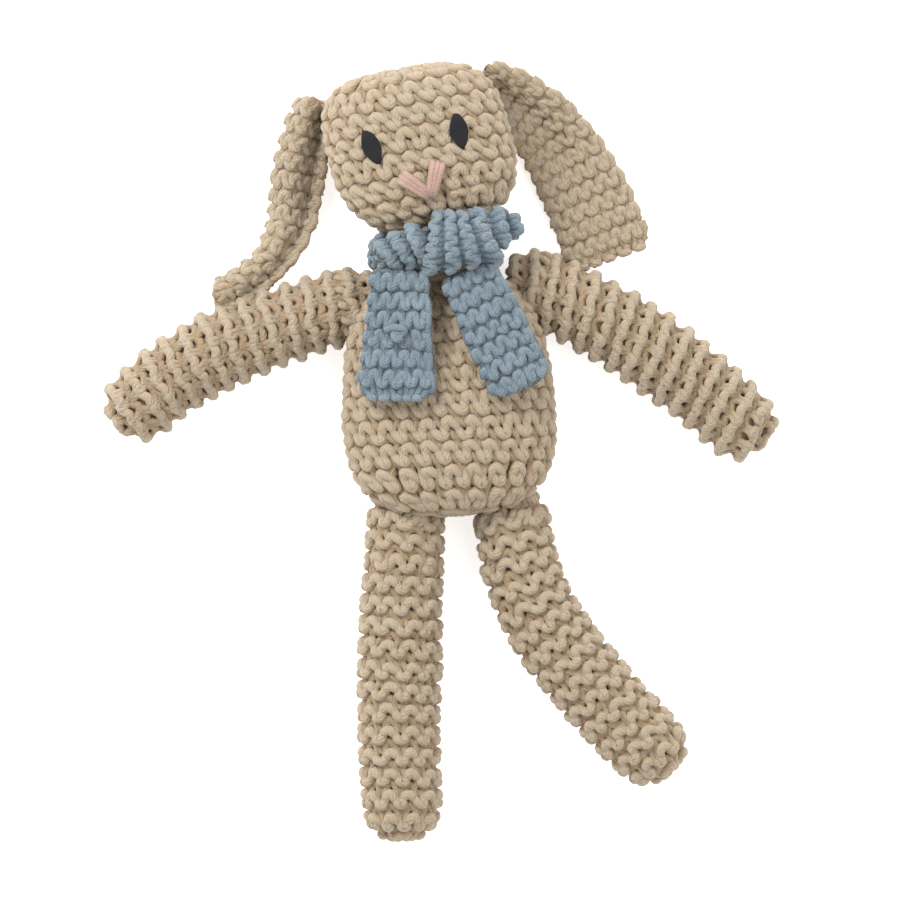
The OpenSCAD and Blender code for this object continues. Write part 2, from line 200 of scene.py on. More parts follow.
def smooth(points, sub, lap=None):
    """Catmull-Rom curve through points, sub places to each. A closed curve has lap, which one lap adds."""
    if lap is None:
        p = np.concatenate([2 * points[:1] - points[1:2], points, 2 * points[-1:] - points[-2:-1]])
    else:
        p = np.concatenate([points[-1:] - lap, points, points[:2] + lap])
    t = (np.arange(sub) / sub)[:, None, None]
    a, b, c, d = p[:-3], p[1:-2], p[2:-1], p[3:]
    out = 0.5 * (2 * b + (c - a) * t + (2 * a - 5 * b + 4 * c - d) * t**2 + (3 * b - a - 3 * c + d) * t**3)
    out = out.transpose(1, 0, 2).reshape(-1, points.shape[1])
    return np.concatenate([out, points[-1:]]) if lap is None else out


class Skein:
    """Strands of yarn gathered into one mesh."""

    def __init__(self):
        self.verts, self.quads, self.yarn, self.rise, self.count = [], [], [], [], 0

    def lay(self, path, out, radius, closed, start=0.0, lift=0.0, top=None, both=False):
        """A tube of yarn along a path. out points away from the cloth, and start is where its twist begins.

        lift is the path's height over the middle of the cloth, and top is the height of the cloth's face.
        both is for cloth that is seen from both its faces.
        """
        n, k = len(path), SIDES
        if closed:
            run = np.roll(path, -1, 0) - np.roll(path, 1, 0)
        else:
            run = np.gradient(path, axis=0)
        run = unit(run)
        side = unit(np.cross(run, out))
        up = np.cross(side, run)
        angle = 2 * math.pi * np.arange(k) / k
        ring = up[:, None] * np.cos(angle)[None, :, None] + side[:, None] * np.sin(angle)[None, :, None]
        radius = np.broadcast_to(radius, (n,))
        # The rise, which the yarn materials turn into painted shade: low deep in the cloth and on the side of
        # a strand that faces into it
        height = np.broadcast_to(lift, (n,))[:, None] + radius[:, None] * np.cos(angle)[None]
        height = height / (radius[:, None] if top is None else top)
        self.rise.append((np.abs(height) if both else height).ravel())
        self.verts.append((path[:, None] + ring * radius[:, None, None]).reshape(-1, 3))
        steps = np.linalg.norm(np.diff(path, axis=0), axis=1)
        length = start + np.concatenate([[0], np.cumsum(steps)])
        self.yarn.append(
            np.stack([np.tile(np.cos(angle), n), np.tile(np.sin(angle), n), np.repeat(length, k)], 1)
        )
        i = np.arange(n if closed else n - 1)[:, None]
        j = np.arange(k)[None]
        i2 = (i + 1) % n
        j2 = (j + 1) % k
        quads = np.stack([i * k + j, i * k + j2, i2 * k + j2, i2 * k + j], 2).reshape(-1, 4)
        self.quads.append(quads + self.count)
        if not closed:
            for face in END_FACES:
                self.quads.append(self.count + np.array([face[::-1]]))
            for face in END_FACES:
                self.quads.append(self.count + (n - 1) * k + np.array([face]))
        self.count += n * k

    def mesh(self, name, material):
        verts = rest_on_floor(np.concatenate(self.verts))
        o = new_mesh(name, verts, np.concatenate(self.quads), material)
        yarn = o.data.attributes.new("yarn", "FLOAT_VECTOR", "POINT")
        yarn.data.foreach_set("vector", np.concatenate(self.yarn).astype(np.float32).ravel())
        rise = o.data.attributes.new("rise", "FLOAT", "POINT")
        rise.data.foreach_set("value", np.concatenate(self.rise).astype(np.float32))
        return o


def rest_on_floor(verts):
    """Presses anything near or below the floor flat on it."""
    verts = verts.copy()
    z = verts[:, 2]
    verts[:, 2] = (z + np.sqrt(z * z + PRESS)) / 2
    return verts


def new_mesh(name, verts, faces, material):
    mesh = bpy.data.meshes.new(name)
    corners = faces.shape[1]
    mesh.vertices.add(len(verts))
    mesh.vertices.foreach_set("co", (verts * MM).astype(np.float32).ravel())
    mesh.loops.add(faces.size)
    mesh.loops.foreach_set("vertex_index", faces.astype(np.int32).ravel())
    mesh.polygons.add(len(faces))
    mesh.polygons.foreach_set("loop_start", np.arange(0, faces.size, corners, dtype=np.int32))
    mesh.polygons.foreach_set("use_smooth", np.ones(len(faces), bool))
    mesh.update(calc_edges=True)
    mesh.materials.append(material)
    o = bpy.data.objects.new(name, mesh)
    bpy.context.scene.collection.objects.link(o)
    return o


def grid_mesh(name, grid, closed, material):
    """A plain sheet through a grid of points."""
    rows, cols = grid.shape[:2]
    i = np.arange(rows - 1)[:, None]
    j = np.arange(cols if closed else cols - 1)[None]
    j2 = (j + 1) % cols
    faces = np.stack([i * cols + j, i * cols + j2, (i + 1) * cols + j2, (i + 1) * cols + j], 2)
    return new_mesh(name, rest_on_floor(grid.reshape(-1, 3)), faces.reshape(-1, 4), material)


def knit_round(skein, cloth, rows, gauge, rng):
    """Garter stitch round a closed surface: one ring of loops to a row."""
    w, h, r = gauge["stitch"], gauge["loop"], gauge["yarn"] / 2
    ends, legs = gauge["ends"], gauge["legs"]
    widest = max(8, int(round(cloth.girths.max() / w)))
    drift = [Wobble(rng, widest, rows) for _ in range(3)]
    count = None
    for i in range(rows):
        room = cloth.girth(i + 0.5) / w
        if count is None or not SNUG < room / count < ROOMY:
            count = max(4, int(round(room)))
        k = np.arange(count)[:, None]
        side = 1 if i % 2 == 0 else -1
        x = (k + stitch_x(gauge)[None]).ravel()
        y = np.tile(STITCH_Y, count)
        z = np.tile(ends * STITCH_ENDS + legs * STITCH_LEGS, count) * side
        thick = np.tile(1 - gauge["thin_legs"] * np.abs(STITCH_LEGS), count)
        s = i + 0.5 + y * h / gauge["row"]
        place = x * widest / count
        u = 0.5 + (x + leant(gauge, y) + gauge["drift"] * drift[0](place, s)) / count
        s = s + gauge["drift"] * drift[1](place, s) + gauge.get("tilt", 0) * np.sin(2 * math.pi * u)
        z = z + gauge["bulge"] * drift[2](place, s)
        line = smooth(np.stack([u, s, z, thick], 1), SMOOTHING, np.array([1, 0, 0, 0]))
        path, out = cloth.at(line[:, 0], line[:, 1], line[:, 2])
        skein.lay(path, out, r * line[:, 3], True, rng.uniform(0, TWIST_START), line[:, 2], ends + r)


def knit_flat(skein, cloth, rows, gauge, rng):
    """Garter stitch to and fro over an open surface: one strand that turns at each edge."""
    w, h, r = gauge["stitch"], gauge["loop"], gauge["yarn"] / 2
    ends, legs, edge = gauge["ends"], gauge["legs"], gauge["edge"] / w
    widest = max(3, int(round(cloth.girths.max() / w)))
    drift = [Wobble(rng, widest, rows) for _ in range(3)]
    points = []
    for i in range(rows):
        count = max(2, int(round(cloth.girth(i + 0.5) / w)))
        k = np.arange(count)[:, None]
        side = 1 if i % 2 == 0 else -1
        x = np.append((k + stitch_x(gauge)[None]).ravel(), count)
        y = np.append(np.tile(STITCH_Y, count), STITCH_Y[0])
        z = ends * STITCH_ENDS + legs * STITCH_LEGS
        z = np.append(np.tile(z, count), z[0]) * side
        x = np.concatenate([[-edge], x, [count + edge]])
        y = np.concatenate([EDGE_Y[:1], y, EDGE_Y[1:]])
        z = np.concatenate([[0], z, [0]])
        place = x * widest / count
        s = i + 0.5 + y * h / gauge["row"] + gauge["drift"] * drift[1](place, i + 0.5 + y)
        s = np.clip(s, END_GAP, rows - END_GAP)
        u = (x + leant(gauge, y) + gauge["drift"] * drift[0](place, s)) / count
        z = z + gauge["bulge"] * drift[2](place, s)
        line = np.stack([u, s, z], 1)
        if i % 2:
            line[:, 0] = 1 - line[:, 0]
        points.append(line)
    line = smooth(np.concatenate(points), SMOOTHING)
    path, out = cloth.at(line[:, 0], line[:, 1], line[:, 2])
    skein.lay(path, out, r, False, rng.uniform(0, TWIST_START), line[:, 2], ends + r, True)


# ---- Surfaces ----

# Lines of points to a row of knitting, round a stuffed part and along a strip
PER_ROW = 8
STRIP_PER_ROW = 6
# Points round the torso and the head, round a limb, and across a strip
GIRTH_POINTS = 240
LIMB_POINTS = 96
STRIP_POINTS = 41
# Fine points along a profile from end to end, and round a cross-section, before they are spaced evenly
PROFILE_POINTS = 6001
OUTLINE_POINTS = 4001
# Degrees from the middle to where a closed surface stops, just short of its end
POLE = 89


def even_rows(points, row):
    """How many rows of that height go along a line: an even number, so that the ridges pair up."""
    _, length = even(points, 10)
    return 2 * int(round(length / row / 2))


def pillow_cloth(shape, inset, row):
    """The torso's or the head's surface, in rows of that height. Returns it and its number of rows."""
    hw, hl, hd = (x - inset for x in shape["half"])
    low, high = shape["squares"]
    lat = np.radians(np.linspace(-POLE, POLE, PROFILE_POINTS))
    e = np.where(lat > 0, 2 / high, 2 / low)
    v, f = signed_pow(np.sin(lat), e), np.cos(lat) ** e
    profile = np.stack([hl * v, hd * f], 1)
    rows = even_rows(profile, row)
    fraction, _ = even(profile, rows * PER_ROW + 1)
    places = np.linspace(0, 1, len(lat))
    v, f = np.interp(fraction, places, v), np.interp(fraction, places, f)
    phi = np.radians(90 - np.linspace(0, 360, OUTLINE_POINTS))
    cx, cz = signed_pow(np.cos(phi), 2 / GIRTH_SQUARE), signed_pow(np.sin(phi), 2 / GIRTH_SQUARE)
    fraction, _ = even(np.stack([hw * cx, hd * cz], 1), GIRTH_POINTS, True)
    places = np.linspace(0, 1, len(phi))
    cx, cz = np.interp(fraction, places, cx), np.interp(fraction, places, cz)
    y = np.repeat((hl * v)[:, None], GIRTH_POINTS, 1)
    x = hw * (f * (1 - shape["taper"] * v))[:, None] * cx[None] + shape["lean"] * y
    z = hd * f[:, None] * cz[None]
    a = math.radians(shape["turn"])
    grid = np.stack([
        shape["at"][0] + x * math.cos(a) - y * math.sin(a),
        shape["at"][1] + x * math.sin(a) + y * math.cos(a),
        shape["z"] + z,
    ], 2)
    return Cloth(grid, True, PER_ROW), rows


def limb_line(limb, a):
    """Points and headings at distances a along a limb's middle: two arcs, straight before and beyond them."""
    h0, h1, h2 = limb["headings"]
    l0, l1 = limb["lengths"]

    def arc(p, start, end, length, d):
        k = (end - start) / length
        turned, first = np.radians(start + k * d), math.radians(start)
        step = np.stack([np.sin(turned) - math.sin(first), math.cos(first) - np.cos(turned)], -1)
        return np.array(p) + 180 / math.pi / k * step, start + k * d

    elbow, _ = arc(limb["root"], h0, h1, l0, np.array(l0))
    first, first_h = arc(limb["root"], h0, h1, l0, np.clip(a, 0, l0))
    second, second_h = arc(elbow, h1, h2, l1, np.clip(a - l0, 0, l1))
    p = np.where((a < l0)[:, None], first, second)
    h = np.where(a < l0, first_h, second_h)
    beyond = np.where(a < 0, a, np.where(a > l0 + l1, a - l0 - l1, 0))
    r = np.radians(h)
    return p + beyond[:, None] * np.stack([np.cos(r), np.sin(r)], 1), h


def limb_cloth(limb, inset, row):
    """A limb's surface as rows round it, from inside the torso to the tip."""
    r0, r1, r2 = (r - inset for r in limb["radii"])
    l0, l1 = limb["lengths"]
    back = np.radians(np.linspace(72, 2, 40))
    tip = np.radians(np.linspace(2, POLE, 90))
    t0, t1 = np.linspace(0, 1, 80), np.linspace(0.0125, 1, 80)
    ease0, ease1 = t0 * t0 * (3 - 2 * t0), t1 * t1 * (3 - 2 * t1)
    a = np.concatenate([-limb["back"] * np.sin(back), l0 * t0, l0 + l1 * t1, l0 + l1 + r2 * np.sin(tip)])
    rho = np.concatenate([
        r0 * np.cos(back) ** 0.6,
        r0 + (r1 - r0) * ease0,
        r1 + (r2 - r1) * ease1,
        r2 * np.cos(tip) ** 0.62,
    ])
    profile = np.stack([a, rho], 1)
    rows = even_rows(profile, row)
    fraction, _ = even(profile, rows * PER_ROW + 1)
    places = np.linspace(0, 1, len(a))
    a, rho = np.interp(fraction, places, a), np.interp(fraction, places, rho)
    p, h = limb_line(limb, a)
    turn = 2 * math.pi * np.arange(LIMB_POINTS) / LIMB_POINTS
    r = np.radians(h)
    side = np.stack([np.sin(r), -np.cos(r), np.zeros_like(r)], 1)
    ring = side[:, None] * np.sin(turn)[None, :, None] + UP * np.cos(turn)[None, :, None]
    middle = np.concatenate([p, np.full((len(p), 1), limb["z"])], 1)
    grid = middle[:, None] + ring * rho[:, None, None]
    return Cloth(grid, True, PER_ROW), rows


def front_of(shape, x, y, reach=1.0):
    """Height of the torso's or the head's front over points. reach below 1 keeps it up towards the sides."""
    a = math.radians(shape["turn"])
    dx, dy = np.asarray(x) - shape["at"][0], np.asarray(y) - shape["at"][1]
    px = (dx * math.cos(a) + dy * math.sin(a)) * reach
    py = -dx * math.sin(a) + dy * math.cos(a)
    hw, hl, hd = shape["half"]
    square = np.where(py > 0, shape["squares"][1], shape["squares"][0])
    v = np.clip(np.abs(py) / hl, 0, 0.99)
    f = (1 - v**square) ** (1 / square)
    q = np.clip(np.abs(px) / (hw * f * (1 - shape["taper"] * np.sign(py) * v)), 0, 0.99)
    return shape["z"] + hd * f * (1 - q**GIRTH_SQUARE) ** (1 / GIRTH_SQUARE)


def strip_cloth(line, headings, half_widths, height, row, bump=0.5):
    """A strip of knitting along a line on the plane, across it by half_widths each way.

    Its edges bulge by bump at each ridge of two rows. height gives the height over the floor from the
    fraction along the strip, the place across (-1 to 1), and the points themselves.
    """
    _, length = even(line, 10)
    rows = int(round(length / row))
    fraction, _ = even(line, rows * STRIP_PER_ROW + 1)
    places = np.linspace(0, 1, len(line))
    p = np.stack([np.interp(fraction, places, line[:, k]) for k in (0, 1)], 1)
    h = np.radians(np.interp(fraction, places, headings))
    ridges = np.abs(np.sin(np.pi / 2 * np.arange(rows * STRIP_PER_ROW + 1) / STRIP_PER_ROW))
    w = np.interp(fraction, places, half_widths) + bump * (ridges - 0.6)
    across = np.linspace(-1, 1, STRIP_POINTS)
    side = np.stack([np.sin(h), -np.cos(h)], 1)
    flat = p[:, None] + side[:, None] * (across[None, :, None] * w[:, None, None])
    t = np.repeat(np.linspace(0, 1, len(p))[:, None], STRIP_POINTS, 1)
    z = height(t, np.repeat(across[None], len(p), 0), flat)
    return Cloth(np.concatenate([flat, z[..., None]], 2), False, STRIP_PER_ROW), rows


# ---- Materials ----

PLIES = 3
# How fast a strand's plies turn round it, for its thickness
TWIST_RATE = 2.3
# Height over the cloth's middle, as a share of its face's, where the painted shade is full and where it ends:
# yarn deep in the cloth, and the side of a strand that faces into it, is painted in its dark colour as shade
PAINTED_SHADE_FULL, PAINTED_SHADE_END = 0.25, 0.8
GLOW_COLOUR = (1.0, 0.62, 0.36)
GLOW_DEPTH = 0.0016


def node(tree, kind, inputs=None, **settings):
    """A new shader node. An input that is another node's socket is linked, and any other is set."""
    n = tree.nodes.new(kind)
    for k, v in settings.items():
        setattr(n, k, v)
    for k, v in (inputs or {}).items():
        if isinstance(v, bpy.types.NodeSocket):
            tree.links.new(v, n.inputs[k])
        else:
            n.inputs[k].default_value = v
    return n


def maths(tree, operation, a, b=0.0, c=0.0):
    """The result of one sum in a shader."""
    return node(tree, "ShaderNodeMath", {0: a, 1: b, 2: c}, operation=operation).outputs[0]


def yarn_material(name, light, dark, thick, sheen=0.25, glow=0.3):
    """Plied wool: twisted strands, fine fibres along the twist, slow changes of tone along the yarn, and
    painted shade in the ply grooves and deep in the cloth.
    """
    m = bpy.data.materials.new(name)
    m.use_nodes = True
    t = m.node_tree
    shader = t.nodes["Principled BSDF"]
    yarn = node(t, "ShaderNodeAttribute", attribute_name="yarn")
    part = node(t, "ShaderNodeSeparateXYZ", {0: yarn.outputs["Vector"]})
    angle = maths(t, "ARCTAN2", part.outputs[1], part.outputs[0])
    length = part.outputs[2]
    twist = maths(t, "MULTIPLY", length, TWIST_RATE / thick * PLIES)
    phase = maths(t, "SUBTRACT", maths(t, "MULTIPLY", angle, PLIES), twist)
    ply = maths(t, "ABSOLUTE", maths(t, "SINE", phase))
    turned = maths(t, "SUBTRACT", angle, maths(t, "DIVIDE", twist, PLIES))
    along = node(t, "ShaderNodeCombineXYZ", {
        0: maths(t, "COSINE", turned),
        1: maths(t, "SINE", turned),
        2: maths(t, "MULTIPLY", length, 0.10),
    })
    fibres = node(t, "ShaderNodeTexNoise", {
        "Vector": along.outputs[0], "Scale": 4.5, "Detail": 4.0, "Roughness": 0.6,
    })
    place = node(t, "ShaderNodeTexCoord").outputs["Object"]
    slow = node(t, "ShaderNodeTexNoise", {"Vector": place, "Scale": 90.0, "Detail": 2.0})
    fuzz = node(t, "ShaderNodeTexNoise", {"Vector": place, "Scale": 1500.0, "Detail": 3.0})
    # The ply term paints the grooves between the plies darker as shade; the fibres and the slow noise are the
    # yarn's own uneven tone
    tone = maths(t, "MULTIPLY_ADD", ply, 0.3, maths(t, "MULTIPLY", fibres.outputs[0], 0.5))
    tone = maths(t, "MULTIPLY_ADD", slow.outputs[0], 0.6, tone)
    tone = maths(t, "SUBTRACT", tone, 0.1)
    # Painted shade: the tone falls to the dark colour where the rise is low, deep in the cloth and on the
    # strands' sides that face into it
    rise = node(t, "ShaderNodeAttribute", attribute_name="rise")
    face = node(t, "ShaderNodeMapRange", {0: rise.outputs["Fac"], 1: PAINTED_SHADE_FULL, 2: PAINTED_SHADE_END, 3: 0.0, 4: 1.0})
    tone = maths(t, "MULTIPLY", tone, face.outputs[0])
    mix = node(t, "ShaderNodeMix", data_type="RGBA")
    t.links.new(tone, mix.inputs["Factor"])
    low, high = (socket for socket in mix.inputs if socket.type == "RGBA")
    low.default_value = (*dark, 1)
    high.default_value = (*light, 1)
    colour = [o for o in mix.outputs if o.type == "RGBA"][0]
    height = maths(t, "MULTIPLY_ADD", fibres.outputs[0], 0.7, maths(t, "MULTIPLY", ply, 0.6))
    height = maths(t, "MULTIPLY_ADD", fuzz.outputs[0], 0.6, height)
    bump = node(t, "ShaderNodeBump", {"Height": height, "Strength": 0.7, "Distance": 0.0005})
    t.links.new(colour, shader.inputs["Base Color"])
    t.links.new(bump.outputs[0], shader.inputs["Normal"])
    shader.inputs["Roughness"].default_value = 0.92
    shader.inputs["Specular IOR Level"].default_value = 0.15
    shader.inputs["Sheen Weight"].default_value = sheen
    shader.inputs["Sheen Roughness"].default_value = 0.5
    shader.inputs["Subsurface Weight"].default_value = glow
    shader.inputs["Subsurface Radius"].default_value = GLOW_COLOUR
    shader.inputs["Subsurface Scale"].default_value = GLOW_DEPTH
    return m


def shade_sheet_material(name, light, dark):
    """Painted shade for the gaps between the loops: a darker sheet behind them, with a fine fibre texture."""
    m = bpy.data.materials.new(name)
    m.use_nodes = True
    t = m.node_tree
    shader = t.nodes["Principled BSDF"]
    place = node(t, "ShaderNodeTexCoord")
    fibres = node(t, "ShaderNodeTexNoise", {"Vector": place.outputs["Object"], "Scale": 900.0, "Detail": 4.0})
    ramp = node(t, "ShaderNodeValToRGB", {0: fibres.outputs[0]})
    ramp.color_ramp.elements[0].color = (*dark, 1)
    ramp.color_ramp.elements[0].position = 0.3
    ramp.color_ramp.elements[1].color = (*light, 1)
    ramp.color_ramp.elements[1].position = 0.7
    bump = node(t, "ShaderNodeBump", {"Height": fibres.outputs[0], "Strength": 0.8, "Distance": 0.0006})
    t.links.new(ramp.outputs[0], shader.inputs["Base Color"])
    t.links.new(bump.outputs[0], shader.inputs["Normal"])
    shader.inputs["Roughness"].default_value = 1.0
    shader.inputs["Specular IOR Level"].default_value = 0.05
    return m


# Each yarn's dark colour is both its own darker tone and the painted shade in its grooves and deep in the
# cloth
BEIGE = yarn_material("oatmeal_yarn", (0.44, 0.368, 0.27), (0.365, 0.262, 0.163), 3.2)
BLUE = yarn_material("dusty_blue_yarn", (0.243, 0.30, 0.34), (0.09, 0.125, 0.152), 2.6)
CHARCOAL = yarn_material("charcoal_thread", (0.028, 0.028, 0.032), (0.012, 0.012, 0.014), 1.6, 0.03, 0.0)
PINK = yarn_material("pink_yarn", (0.53, 0.35, 0.285), (0.40, 0.25, 0.195), 1.8)
# Darker sheets behind the knitting, which are painted shade seen through the gaps between the loops
BEIGE_SHADE_SHEET = shade_sheet_material("oatmeal_painted_shade", (0.52, 0.35, 0.21), (0.38, 0.245, 0.14))
BLUE_SHADE_SHEET = shade_sheet_material("blue_painted_shade", (0.12, 0.17, 0.21), (0.07, 0.105, 0.13))
# The yarn and the sheet of painted shade behind it, for each slot that is knitted
WOOL = {"body_yarn": (BEIGE, BEIGE_SHADE_SHEET), "scarf_yarn": (BLUE, BLUE_SHADE_SHEET)}

# ---- Gauges ----

# stitch, row and yarn: width of a stitch, height of a row and thickness of the yarn
# loop: how far a loop goes up and down from its row's middle
# ends and legs: how far these parts of a loop stand out of the cloth's middle
# lean, drift: how far a stitch leans, and how uneven its place is, in stitches
# bulge: how uneven the cloth's face is
# pinch: share by which a stitch's two legs are drawn together
# thin_legs: share by which the legs are thinner
# edge: how far a strand goes past the edge of a flat piece before it turns
BODY_GAUGE = {"stitch": 5.9, "row": 3.75, "loop": 4.5, "yarn": 3.3, "ends": 0.75, "legs": 0.1, "lean": -0.3,
              "drift": 0.1, "bulge": 0.25, "pinch": -0.1, "thin_legs": 0.3}
ARM_GAUGE = {"stitch": 5.2, "row": 3.3, "loop": 2.05, "yarn": 3.0, "ends": 1.1, "legs": 0.2, "lean": 0.04,
             "drift": 0.13, "bulge": 0.28, "pinch": 0.55, "thin_legs": 0.25}
LEG_GAUGE = {"stitch": 6.2, "row": 3.45, "loop": 3.4, "yarn": 3.2, "ends": 0.95, "legs": 0.3, "lean": -0.08,
             "drift": 0.12, "bulge": 0.25, "pinch": 0.15, "thin_legs": 0.25}
EAR_GAUGE = {"stitch": 4.5, "row": 2.9, "loop": 3.2, "yarn": 2.6, "ends": 0.8, "legs": 0.3, "lean": -0.15,
             "drift": 0.09, "bulge": 0.2, "edge": 0.3, "pinch": 0.0, "thin_legs": 0.0}
SCARF_GAUGE = {"stitch": 4.3, "row": 3.0, "loop": 3.4, "yarn": 2.55, "ends": 0.8, "legs": 0.25, "lean": 0.05,
               "drift": 0.1, "bulge": 0.22, "edge": 0.3, "pinch": 0.05, "thin_legs": 0.0}
# How far the middle of the knitting lies inside the surface of the stuffed parts
BODY_DEPTH = 2.9
ARM_DEPTH = 2.2
LEG_DEPTH = 2.6

# ---- Torso and head ----

# How far the sheet of painted shade lies behind a stuffed part's knitting
SHADE_SHEET_DEPTH = 1.6


def stuffed(name, cloth, rows, gauge, seed):
    """Knitting over a closed surface, and a sheet behind it that is painted shade for the gaps between the
    loops.
    """
    skein = Skein()
    knit_round(skein, cloth, rows, gauge, np.random.default_rng(seed))
    knitting = skein.mesh(name, BEIGE)
    # The points of the sheet of painted shade, inside the knitting
    fibres = cloth.grid[::4, ::4] - SHADE_SHEET_DEPTH * cloth.normals[::4, ::4]
    ends = [np.repeat(fibres[k].mean(0)[None, None], fibres.shape[1], 1) for k in (0, -1)]
    inner = grid_mesh(name + "_painted_shade", np.concatenate([ends[0], fibres, ends[1]]), True, BEIGE_SHADE_SHEET)
    return knitting, inner


for name, shape, seed in (("torso", TORSO, 11), ("head", HEAD, 12)):
    cloth, rows = pillow_cloth(shape, BODY_DEPTH, BODY_GAUGE["row"])
    if name == "torso":
        offset = (cloth.grid[..., :2] - CHEST["at"]) / CHEST["half"]
        facing = cloth.grid[..., 2] > TORSO["z"]
        cloth.grid[..., 2] -= facing * CHEST["depth"] * np.exp(-(offset**2).sum(2))
    knitting, inner = stuffed(name + "_knitting", cloth, rows, BODY_GAUGE, seed)
    for piece in (knitting, inner):
        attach(piece, name)
    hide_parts(name + "_casing")
    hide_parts(name + "_stuffing")

# ---- Limbs ----

HALVES = {"arm": ("upper_arm", "forearm"), "leg": ("thigh", "shin")}
# A distance on each side of an elbow or a knee, at which two points on the limb's middle are found
BEND_REACH = 13
for seed, (name, limb) in enumerate(LIMBS.items()):
    side, kind = name.split("_")
    gauge = dict(ARM_GAUGE if kind == "arm" else LEG_GAUGE, tilt=limb["tilt"])
    cloth, rows = limb_cloth(limb, ARM_DEPTH if kind == "arm" else LEG_DEPTH, gauge["row"])
    knitting, inner = stuffed(name + "_knitting", cloth, rows, gauge, 21 + seed)
    upper, lower = (f"{side}_{half}" for half in HALVES[kind])
    reach = np.array([limb["lengths"][0] - BEND_REACH, limb["lengths"][0] + BEND_REACH])
    ends, _ = limb_line(limb, reach)
    start, end = ([p[0] * MM, p[1] * MM, limb["z"] * MM] for p in ends)
    for piece in (knitting, inner):
        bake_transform(piece)
    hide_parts(upper, lower)
    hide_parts(upper + "_stuffing", lower + "_stuffing")

# ---- Ears ----


def flat_piece(name, cloth, rows, gauge, seed, slot, body, node_name):
    """A flat piece of knitting and a sheet within it that is painted shade for the gaps between the loops."""
    yarn, shade_sheet = WOOL[slot]
    skein = Skein()
    knit_flat(skein, cloth, rows, gauge, np.random.default_rng(seed))
    knitting = skein.mesh(name + "_knitting", yarn)
    backing = grid_mesh(name + "_painted_shade", cloth.grid[::3, ::4], False, shade_sheet)
    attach(knitting, body)
    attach(backing, body)
    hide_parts(node_name)
    return knitting, backing


def left_ear_height(t, across, flat):
    """Rolled up along the outer edge, with a trough beside the head."""
    z = 15 - 9 * np.clip(t / 0.45, 0, 1) + np.clip((t - 0.45) / 0.55, 0, 1) * 10
    roll, trough = np.exp(-(((across - 0.4) / 0.5) ** 2)), np.exp(-(((across + 0.5) / 0.3) ** 2))
    return z + (1 - 0.6 * t) * (6.2 * roll - 4.0 * trough)


def right_ear_height(t, across, flat):
    """Cupped by the head, with its outer edge rolled forwards."""
    z = 17 - 12.5 * np.clip(t / 0.45, 0, 1) ** 0.7
    cup = np.clip(1 - t / 0.85, 0, 1)
    rise, fall = np.clip((-0.05 - across) / 0.5, 0, 1), np.clip((-0.75 - across) / 0.25, 0, 1)
    edge = 5.5 * rise**2 * (3 - 2 * rise) - 2.0 * fall**2
    return z + cup * (edge - 5.5 * (1 - across**2)) + 1.2 * (1 - across**2) * (1 - cup)


EAR_LINE_POINTS = 161
# Each ear's line, as two arcs; its half widths at places along it; and how far its edges bulge at a ridge
EARS = {
    "left_ear": {"root": (-39.5, 112.3), "headings": (-108, -96, -163), "lengths": (33, 42.2),
                 "places": (0, 0.1, 0.3, 0.5, 0.75, 0.93, 1), "half": (4.2, 6.4, 7.2, 6.5, 4.6, 4.6, 3.4),
                 "bump": 1.2, "height": left_ear_height, "held": "folded"},
    "right_ear": {"root": (13.6, 119.0), "headings": (-26, -62, -70), "lengths": (40.0, 32.4),
                  "places": (0, 0.1, 0.3, 0.5, 0.78, 0.9, 0.97, 1),
                  "half": (5.0, 7.2, 10.0, 10.8, 12.2, 12.8, 12.6, 11.0),
                  "bump": 1.0, "height": right_ear_height, "held": "hung"},
}
for seed, (name, ear) in enumerate(EARS.items()):
    line, headings = limb_line(ear, np.linspace(0, sum(ear["lengths"]), EAR_LINE_POINTS))
    half = np.interp(np.linspace(0, 1, len(line)), ear["places"], ear["half"])
    cloth, rows = strip_cloth(line, headings, half, ear["height"], EAR_GAUGE["row"], ear["bump"])
    flat_piece(name, cloth, rows, EAR_GAUGE, 31 + seed, slot="body_yarn", body=name, node_name=name)

# ---- Scarf ----


SCARF_LINE_POINTS = 101
# front_of's reach for what lies on the chest, the lowest bed for a tail, and the tail's height over its bed
CHEST_REACH = 0.72
TAIL_BED = 37
TAIL_LIFT = 3.2


def tail_height(t, across, flat):
    bed = np.maximum(front_of(TORSO, flat[..., 0], flat[..., 1], CHEST_REACH), TAIL_BED) + TAIL_LIFT
    return bed + 0.6 * np.sin(9 * t + 2 * across)


def knot_height(t, across, flat):
    return 47.2 - 7.0 * np.abs(2 * t - 1) ** 4 - 4.5 * np.abs(across) ** 4


def loop_height(t, across, flat):
    return 39.0 + 6.0 * t - 3.5 * across**2


def ruffle_height(t, across, flat):
    return 42.5 - 9.0 * t**2 - 1.5 * across**2


for name, top, length, heading, widths, seed in (
    ("scarf_left_tail", (-12.8, 57.0), 40.0, -91.5, (7.6, 11.4), 41),
    ("scarf_right_tail", (8.6, 57.6), 41.0, -64, (8.0, 9.6), 42),
):
    a = math.radians(heading)
    t = np.linspace(0, 1, SCARF_LINE_POINTS)
    line = np.array(top) + length * t[:, None] * np.array([math.cos(a), math.sin(a)])
    # The last tenth narrows to its rounded end
    rounded = 1 - 0.3 * np.clip((t - 0.9) / 0.1, 0, 1) ** 2
    half = (widths[0] + (widths[1] - widths[0]) * t) * rounded
    cloth, rows = strip_cloth(line, np.full(len(t), heading), half, tail_height, SCARF_GAUGE["row"])
    flat_piece(name, cloth, rows, SCARF_GAUGE, seed, slot="scarf_yarn", body=name, node_name=name)

# The turn round the neck: a strip gathered across its width, fuller at its two sides
WRAP_ROWS = 34
WRAP_TILT = math.radians(5.5)
